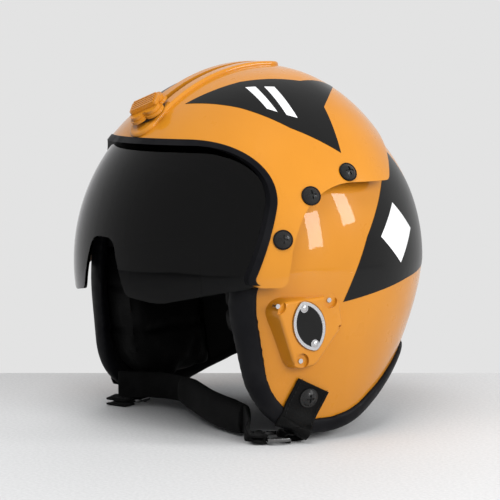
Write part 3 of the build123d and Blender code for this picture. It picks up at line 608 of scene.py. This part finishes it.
def ring_axes():
    """Directions along the left ring's bars and from it towards the tab."""
    turn = radians(RING_TURN)
    return Vector((cos(turn), sin(turn), 0)), Vector((-sin(turn), cos(turn), 0))


def fold_rows(end, radius, start, stop):
    """Rows round a bar of the left ring, and the bar's middle; end is 1 for the bar towards the tab."""
    bar, towards = ring_axes()
    middle = place(*RING_CENTRE) + towards * (end * BAR_OFFSET * MM)
    rows = []
    for i in range(FOLD_ROWS):
        angle = radians(start + (stop - start) * i / (FOLD_ROWS - 1))
        spoke = towards * (end * cos(angle)) + UP * sin(angle)
        rows.append((middle + spoke * radius * MM, bar, FOLDED_WIDTH * MM))
    return rows, middle


def tab_rows(skin):
    """Rows of the left tab: over the shell and the trim, then down to the ring and round its bar."""
    lean = radians(TAB_LEAN)
    down, wide = (-sin(lean), -cos(lean)), (cos(lean), -sin(lean))
    rows = []
    for i in range(TAB_ROWS):
        s = -TAB_ABOVE + (TAB_ABOVE + TAB_BELOW) * i / (TAB_ROWS - 1)
        spots = []
        for w in (-TAB_EDGE, 0.0, TAB_EDGE):
            y = TAB_SCREW[0] + down[0] * s + wide[0] * w * TAB_HALF_WIDTH
            z = TAB_SCREW[1] + down[1] * s + wide[1] * w * TAB_HALF_WIDTH
            hit = skin.ray_cast(place(OUTSIDE_X, y, z), Vector((-1, 0, 0)))[0]
            spots.append(hit if hit and hit[0] > TAB_INNERMOST * MM else None)
        if spots[0] is None or spots[2] is None:
            break
        if spots[1] is None:
            spots[1] = (spots[0] + spots[2]) / 2 + Vector((TAB_BULGE * MM, 0, 0))
        across = (spots[2] - spots[0]).normalized()
        middle = (spots[0] + spots[2] + spots[1] * 2) / 4
        centre = middle + TAB_OUTWARD * (TAB_GAP + LEATHER / 2) * MM
        rows.append((centre, across, 2 * TAB_HALF_WIDTH * MM))
    for _ in range(TAB_ROUNDS):
        softer = [rows[i - 1][0] * 0.25 + rows[i][0] * 0.5 + rows[i + 1][0] * 0.25
                  for i in range(1, len(rows) - 1)]
        rows[1:-1] = [(c, r[1], r[2]) for c, r in zip(softer, rows[1:-1])]
    fold, middle = fold_rows(1, TAB_FOLD + LEATHER / 2, start=60, stop=300)
    bar, towards = ring_axes()
    last = rows[-1]
    entry = middle + towards * ENTRY_AHEAD * MM + UP * ENTRY_RISE * MM
    halfway = last[0].lerp(entry, 0.5) + TAB_SLACK * MM
    across = (last[1] * 0.5 + bar * 0.5).normalized()
    return rows + [(halfway, across, TAB_NARROWING * MM), (entry, bar, OPENING_WIDTH * MM)] + fold


SKIN = tree_of("shell", "edge_trim")
LEFT_TAB = tab_rows(SKIN)
for side_name, strap_rows in (("left", LEFT_TAB), ("right", mirrored(LEFT_TAB))):
    tab = ribbon("leather_tab_" + side_name, strap_rows, LEATHER, SQUARE, "strap_leather")
    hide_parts("strap_tab_" + side_name)
    if side_name == "left":
        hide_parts("tab_loops")


# Stitches: ends are (place along half the length, share of the radius)

STITCH_STEPS = 12
STITCH_SIDES = 6
STITCH_RADIUS = 0.32
STITCH_ENDS = ((-1.0, 0.3), (-0.6, 1.0), (0.6, 1.0), (1.0, 0.3))
TAB_STITCHED_ROWS = 11
TAB_STITCH_SHARE = 0.82
TAB_STITCH_GAP = 0.1


def add_stitch(verts, faces, spot, along, out, length):
    """One stitch: a rod with narrow ends."""
    side = along.cross(out)
    base = len(verts)
    for end, share in STITCH_ENDS:
        for q in range(STITCH_SIDES):
            angle = 2 * pi * q / STITCH_SIDES
            spoke = side * cos(angle) + out * sin(angle)
            verts.append(spot + along * end * length / 2 * MM + spoke * STITCH_RADIUS * share * MM)
    for ring in range(len(STITCH_ENDS) - 1):
        first = base + ring * STITCH_SIDES
        second = first + STITCH_SIDES
        for q in range(STITCH_SIDES):
            k = (q + 1) % STITCH_SIDES
            faces.append((first + q, first + k, second + k, second + q))
    faces.append(tuple(reversed(range(base, base + STITCH_SIDES))))
    faces.append(tuple(range(len(verts) - STITCH_SIDES, len(verts))))


def stitches(name, rows, shares, lift, pitch=3.2, length=2.1):
    """Short raised stitches along a strap at shares of its half width; lift's sign says on which face."""
    verts, faces = [], []
    fine = smooth_rows(rows, STITCH_STEPS)
    for share in shares:
        line = []
        for i, (centre, _, width) in enumerate(fine):
            along, side, out = axes(fine, i)
            spot = centre + side * share * width / 2 + out * lift * MM
            line.append((spot, along, out if lift > 0 else -out))
        travelled, due = 0.0, 0.0
        for i in range(1, len(line)):
            travelled += (line[i][0] - line[i - 1][0]).length
            if travelled >= due:
                due += pitch * MM
                add_stitch(verts, faces, *line[i], length)
    thread = piece(name, verts, faces, "helmet", THREAD)
    recalc(thread)


def outward(rows):
    """1 where a strap's own outer side faces away from the helmet, or else -1."""
    a, b = rows[2], rows[3]
    along = (b[0] - a[0]).normalized()
    out = a[1].cross(along)
    return 1 if out[0] * a[0][0] > 0 else -1


STITCHED = LEFT_TAB[:TAB_STITCHED_ROWS]
for side_name, strap_rows in (("left", STITCHED), ("right", mirrored(STITCHED))):
    lift_out = outward(strap_rows) * (LEATHER / 2 + TAB_STITCH_GAP)
    stitches("tab_stitches_" + side_name, strap_rows, (-TAB_STITCH_SHARE, TAB_STITCH_SHARE), lift_out)


# Padded sleeve and webbing, in millimetres

WEB_Z = 21.5
SLEEVE_RISE = 5.0
SLEEVE_WIDTH = 24.0
SLEEVE_THICKNESS = 11.0
SLEEVE_ROUND = 2.4
SLEEVE_PINCH = 0.86
SLEEVE_STEPS = 8
SLEEVE_SEAM = 0.62
SLEEVE_SEAM_LIFT = 4.4
SLEEVE_PITCH = 4.0
SLEEVE_STITCH = 2.6
SLEEVE_POINTS = [(66.0, -53.0), (52.0, -53.2), (36.0, -52.4), (18.0, -49.6), (2.0, -45.2), (-15.0, -40.6),
                 (-32.0, -37.0)]
TAIL_POINTS = [(-28.0, -37.4), (-40.0, -36.2), (-52.0, -37.8), (-62.0, -43.0), (-69.0, -49.0),
               (-76.0, -55.8), (-83.0, -63.5)]

# Places of the webbing off a ring's front bar, as (reach, rise)
WEB_BACK = (10.0, -1.2)
WEB_FLAT_END = (9.0, 2.4)
FAR_UNDER = (12.0, -2.4)
FAR_OVER = (12.0, 1.5)

# Where the near webbing turns on edge, and its end inside the sleeve
WEB_TURN = (79.0, -60.5, 12.0)
WEB_TURN_ALONG = 0.55
WEB_TURN_UP = 0.6
WEB_HIDDEN_END = ((70.0, -55.0), (62.0, -53.2))


def sleeve_z(x):
    """Height of the sleeve's middle at a place across the helmet."""
    near_end, far_end = SLEEVE_POINTS[0][0], SLEEVE_POINTS[-1][0]
    return WEB_Z - SLEEVE_RISE * (x - far_end) / (near_end - far_end)


def sleeve_rows():
    """Rows of the padded sleeve, pinched at its ends."""
    rows = []
    for x, y in SLEEVE_POINTS:
        tight = SLEEVE_PINCH if (x, y) in (SLEEVE_POINTS[0], SLEEVE_POINTS[-1]) else 1.0
        rows.append((place(x, y, sleeve_z(x)), UP, SLEEVE_WIDTH * tight * MM))
    return rows


def off_bar(middle, reach, rise):
    """A point in front of the left ring's front bar and above or below it."""
    return middle - ring_axes()[1] * reach * MM + UP * rise * MM


def near_web():
    """Rows of the webbing from the left ring's front bar, turning on edge into the sleeve."""
    fold, middle = fold_rows(-1, WEB_FOLD + WEBBING / 2, start=-60, stop=70)
    bar = ring_axes()[0]
    back, flat_end = off_bar(middle, *WEB_BACK), off_bar(middle, *WEB_FLAT_END)
    turned = (bar * WEB_TURN_ALONG + UP * WEB_TURN_UP).normalized()
    rows = [(back, bar, FOLDED_WIDTH * MM)] + fold + [(flat_end, bar, FOLDED_WIDTH * MM)]
    rows.append((place(*WEB_TURN), turned, OPENING_WIDTH * MM))
    for x, y in WEB_HIDDEN_END:
        rows.append((place(x, y, sleeve_z(x)), UP, WEB_WIDTH * MM))
    return rows


def far_web():
    """Rows of the far end's folded webbing, before they are mirrored."""
    fold, middle = fold_rows(-1, WEB_FOLD + WEBBING / 2, start=-70, stop=70)
    bar = ring_axes()[0]
    under, over = off_bar(middle, *FAR_UNDER), off_bar(middle, *FAR_OVER)
    return [(under, bar, FOLDED_WIDTH * MM)] + fold + [(over, bar, FOLDED_WIDTH * MM)]


SLEEVE = sleeve_rows()
sleeve = ribbon("padded_sleeve", SLEEVE, SLEEVE_THICKNESS, SLEEVE_ROUND, "strap_fabric", steps=SLEEVE_STEPS)
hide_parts("strap_sleeve")
for seam, label in ((SLEEVE_SEAM, "upper"), (-SLEEVE_SEAM, "lower")):
    for face, way in (("sleeve_stitches_", 1), ("sleeve_back_stitches_", -1)):
        stitches(face + label, SLEEVE, (seam,), way * SLEEVE_SEAM_LIFT, SLEEVE_PITCH, SLEEVE_STITCH)

web_near = ribbon("web_near", near_web(), WEBBING, FLAT, "strap_fabric")
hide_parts("strap_loop_left")
web_far = ribbon("web_far", mirrored(far_web()), WEBBING, FLAT, "strap_fabric")
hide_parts("strap_loop_right")
TAIL = [(place(x, y, WEB_Z), UP, WEB_WIDTH * MM) for x, y in TAIL_POINTS]
tail = ribbon("web_tail", TAIL, WEBBING, FLAT, "strap_fabric")
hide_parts("strap_web")


# Decals, in metres; their outlines are in the part's own values

DECAL_LIFT = 0.0002
DECAL_CENTRE = place(0, 8, 118)
DECAL_STEP = 0.018
DECAL_OUTSIDE = 0.3
DECAL_RADIUS = 0.13
WELD = 1e-6
PENNANT_TOP = [(21.3, -72.6, 240.3), (29.9, -52.4, 250.1), (35.9, -34.5, 255.7), (46.5, -10.9, 257.8),
               (53.8, 6.3, 256.2), (46.0, 44.0, 252.0)]
PENNANT_NOTCH = (82.8, 5.1, 238.2)
PENNANT_LOW = [(21.3, -72.6, 240.3), (59.5, -52.1, 238.0), (89.7, -31.1, 224.4), (110.9, -2.2, 206.9)]
REAR_FIELD = [(73.5, 66.3, 209.6), (100.9, 44.6, 186.9), (120.4, 14.1, 147.6), (121.9, -8.9, 103.4),
              (120.8, 22.4, 107.9), (109.6, 60.8, 113.9), (82.9, 100.2, 118.9), (62.0, 116.0, 122.0),
              (66.0, 96.0, 168.0)]
LOZENGE = [(104.0, 48.0, 168.0), (115.0, 28.0, 146.0), (110.0, 50.0, 126.0), (98.0, 68.0, 148.0)]
BARS = ((0.50, 0.57), (0.63, 0.70))
BAR_TOP = 0.22
BAR_FOOT = 0.78
BAR_SLANT = 0.05


def decal(name, outline, skin, body, material, lift=DECAL_LIFT, side=1):
    """A thin film on the surface, inside an outline of points in the part's own values."""
    spokes = [(place(*p) - DECAL_CENTRE).normalized() for p in outline]
    middle = sum(spokes, Vector()).normalized()
    first = middle.cross(UP).normalized()
    second = middle.cross(first)
    flat = [(s.dot(first) / s.dot(middle), s.dot(second) / s.dot(middle)) for s in spokes]
    work = bmesh.new()
    work.faces.new([work.verts.new((a, b, 0)) for a, b in flat])
    bmesh.ops.triangulate(work, faces=work.faces)
    for axis in (0, 1):
        low = min(p[axis] for p in flat)
        high = max(p[axis] for p in flat)
        normal = (1, 0, 0) if axis == 0 else (0, 1, 0)
        spot = low + DECAL_STEP
        while spot < high:
            at = (spot, 0, 0) if axis == 0 else (0, spot, 0)
            geometry = work.verts[:] + work.edges[:] + work.faces[:]
            bmesh.ops.bisect_plane(work, geom=geometry, plane_co=at, plane_no=normal)
            spot += DECAL_STEP
    bmesh.ops.remove_doubles(work, verts=work.verts, dist=WELD)
    work.verts.ensure_lookup_table()
    verts = []
    for vertex in work.verts:
        way = (middle + first * vertex.co[0] + second * vertex.co[1]).normalized()
        hit, normal, _, _ = skin.ray_cast(DECAL_CENTRE + way * DECAL_OUTSIDE, -way)
        if hit is None:
            hit, normal = DECAL_CENTRE + way * DECAL_RADIUS, way
        if normal.dot(way) < 0:
            normal = -normal
        verts.append(hit + normal * lift)
    faces = [[v.index for v in face.verts] for face in work.faces]
    work.free()
    if side < 0:
        verts = [flip(v) for v in verts]
    film = piece(name, verts, faces, body, material)
    turned = sum(1 for p in film.data.polygons if p.normal.dot(p.center - DECAL_CENTRE) < 0)
    if turned * 2 > len(film.data.polygons):
        film.data.flip_normals()


def between(a, b, share):
    """A point between two points."""
    return tuple(p + (q - p) * share for p, q in zip(a, b))


def along_line(points, share):
    """A point at a share of a run of points."""
    spot = share * (len(points) - 1)
    i = min(int(spot), len(points) - 2)
    return between(points[i], points[i + 1], spot - i)


def bar_outline(start, stop):
    """Corners of a slanted bar between the pennant's top and lower edges."""
    corners = []
    for share, depth in ((start, BAR_TOP), (stop, BAR_TOP), (stop + BAR_SLANT, BAR_FOOT),
                         (start + BAR_SLANT, BAR_FOOT)):
        top = along_line(PENNANT_TOP[:-1], share)
        corners.append(between(top, along_line(PENNANT_LOW, share), depth))
    return corners


HOUSING_SKIN = tree_of("visor_housing")
SHELL_SKIN = tree_of("shell")
PENNANT = PENNANT_TOP + [PENNANT_NOTCH] + list(reversed(PENNANT_LOW[1:]))
for side_name, sign in (("left", 1), ("right", -1)):
    decal("pennant_" + side_name, PENNANT, HOUSING_SKIN, "helmet", BLACK_VINYL, side=sign)
    for number, ends in enumerate(BARS):
        decal(f"bar_{side_name}_{number}", bar_outline(*ends), HOUSING_SKIN, "helmet", WHITE_VINYL,
              DECAL_LIFT * 2, sign)
    decal("rear_field_" + side_name, REAR_FIELD, SHELL_SKIN, "helmet", BLACK_VINYL, side=sign)
    decal("lozenge_" + side_name, LOZENGE, SHELL_SKIN, "helmet", WHITE_VINYL, DECAL_LIFT * 2, sign)


# Badge enamel, in millimetres and in the part's own values

BADGE_TOE = 6.5
BADGE_TILT = 19.0
BADGE_MIDDLE = (-39.0, 89.1)
BOSS_FACE = (121.3, -39.3)
BADGE_HALF_LENGTH = 18.5
BADGE_HALF_WIDTH = 12.5
BADGE_RIM = 2.3
ENAMEL_LIFT = 0.72
ENAMEL_REACH = 0.94
ENAMEL_POINTS = 24


def badge_point(side, along, up):
    """A point on the badge's field from its own axes: along its length and across it."""
    toe, tilt = radians(BADGE_TOE), radians(BADGE_TILT)
    run = up * cos(tilt) - along * sin(tilt) + (BADGE_MIDDLE[0] - BOSS_FACE[1]) / cos(toe)
    rise = up * sin(tilt) + along * cos(tilt)
    x = BOSS_FACE[0] + run * sin(toe) + ENAMEL_LIFT * cos(toe)
    y = BOSS_FACE[1] + run * cos(toe) - ENAMEL_LIFT * sin(toe)
    point = place(x, y, BADGE_MIDDLE[1] + rise)
    return point if side > 0 else flip(point)


def make_enamel(side_name, side):
    """Dark enamel in the badge's recessed field, whose outline is two arcs."""
    length, width = BADGE_HALF_LENGTH - BADGE_RIM, BADGE_HALF_WIDTH - BADGE_RIM
    arc = (length ** 2 + width ** 2) / (2 * width)
    reach = atan2(length, arc - width) * ENAMEL_REACH
    rim = []
    for sign in (1, -1):
        for i in range(ENAMEL_POINTS):
            angle = -reach + 2 * reach * i / (ENAMEL_POINTS - 1)
            rim.append((sign * (arc * cos(angle) - (arc - width)), sign * arc * sin(angle)))
    verts = [badge_point(side, along, across) for across, along in rim]
    verts.append(badge_point(side, 0, 0))
    middle = len(verts) - 1
    faces = [(i, (i + 1) % middle, middle) for i in range(middle)]
    enamel = piece("badge_enamel_" + side_name, verts, faces, "helmet", ENAMEL)
    if sum(p.normal[0] for p in enamel.data.polygons) * side < 0:
        enamel.data.flip_normals()


make_enamel("left", 1)
make_enamel("right", -1)


# Stage, light and camera

def area_light(name, azimuth, elevation, distance, size, power, mirrored_in_gloss=True):
    """A soft lamp that points at the helmet."""
    way = direction(azimuth, elevation)
    lamp = bpy.data.lights.new(name, "AREA")
    lamp.energy = power
    lamp.shape = "RECTANGLE"
    lamp.size, lamp.size_y = size
    obj = bpy.data.objects.new(name, lamp)
    obj.location = place(*TARGET) + way * distance
    obj.rotation_euler = (-way).to_track_quat("-Z", "Y").to_euler()
    obj.visible_glossy = obj.visible_transmission = mirrored_in_gloss
    scene.collection.objects.link(obj)


def make_table():
    """Pale, faintly textured table top whose far edge the photograph shows."""
    azimuth = radians(VIEW_AZIMUTH)
    away = Vector((-sin(azimuth), cos(azimuth), 0))
    right = Vector((cos(azimuth), sin(azimuth), 0))
    target = place(*TARGET)
    base = Vector((target[0], target[1], 0))
    near, far = base - away * TABLE_NEAR, base + away * TABLE_BEYOND
    half = right * TABLE_HALF_WIDTH
    corners = [near - half, near + half, far + half, far - half]
    low = Vector((0, 0, -TABLE_THICKNESS))
    verts = [c + low for c in corners] + corners
    faces = [(3, 2, 1, 0), (4, 5, 6, 7), (0, 1, 5, 4), (1, 2, 6, 5), (2, 3, 7, 6), (3, 0, 4, 7)]
    mesh = bpy.data.meshes.new("table")
    mesh.from_pydata([tuple(v) for v in verts], [], faces)
    material, tree, surface = shader("table", grey(0.6), rough=0.75, specular=0.2)
    vary(tree, surface, noise(tree, scale=420.0, detail=6.0), "Base Color", low=grey(0.57), high=grey(0.63))
    bump(tree, surface, noise(tree, scale=700.0, detail=5.0), strength=0.3, distance=0.4)
    mesh.materials.append(material)
    table = bpy.data.objects.new("table", mesh)
    scene.collection.objects.link(table)


def make_world():
    """Pale backdrop, which glass and gloss show too, and soft light for the rest."""
    world = bpy.data.worlds.new("studio")
    world.use_nodes = True
    scene.world = world
    tree = world.node_tree
    out = tree.nodes["World Output"]
    soft = tree.nodes["Background"]
    soft.inputs["Color"].default_value = SOFT_TINT
    soft.inputs["Strength"].default_value = SOFT_STRENGTH
    seen = tree.nodes.new("ShaderNodeBackground")
    seen.inputs["Color"].default_value = (*grey(BACKDROP), 1)
    seen.inputs["Strength"].default_value = 1.0
    rays = tree.nodes.new("ShaderNodeLightPath")
    mix = tree.nodes.new("ShaderNodeMixShader")
    direct = rays.outputs["Is Camera Ray"]
    for kind in ("Is Glossy Ray", "Is Transmission Ray"):
        either = tree.nodes.new("ShaderNodeMath")
        either.operation = "MAXIMUM"
        tree.links.new(direct, either.inputs[0])
        tree.links.new(rays.outputs[kind], either.inputs[1])
        direct = either.outputs["Value"]
    tree.links.new(direct, mix.inputs["Fac"])
    tree.links.new(soft.outputs["Background"], mix.inputs[1])
    tree.links.new(seen.outputs["Background"], mix.inputs[2])
    tree.links.new(mix.outputs["Shader"], out.inputs["Surface"])


def make_camera():
    """The photograph's view."""
    back = direction(VIEW_AZIMUTH, VIEW_ELEVATION)
    lens = bpy.data.cameras.new("camera")
    lens.lens = VIEW_LENS
    lens.sensor_width = SENSOR_WIDTH
    lens.clip_start = NEAR_CLIP
    camera = bpy.data.objects.new("camera", lens)
    camera.location = place(*TARGET) + back * VIEW_DISTANCE
    camera.rotation_euler = (-back).to_track_quat("-Z", "Y").to_euler()
    scene.collection.objects.link(camera)
    scene.camera = camera


make_table()
make_world()
make_camera()
area_light("window_front", azimuth=97, elevation=17, distance=1.5, size=WINDOW, power=5.0)
area_light("window_rear", azimuth=127, elevation=25, distance=1.5, size=WINDOW, power=5.0)
area_light("top", azimuth=30, elevation=66, distance=1.3, size=PANEL, power=14.5, mirrored_in_gloss=False)
area_light("fill", azimuth=80, elevation=22, distance=1.6, size=SMALL_PANEL, power=14.0,
           mirrored_in_gloss=False)
area_light("rear", azimuth=228, elevation=30, distance=1.8, size=PANEL, power=9.0, mirrored_in_gloss=False)
scene.view_settings.view_transform = "Standard"
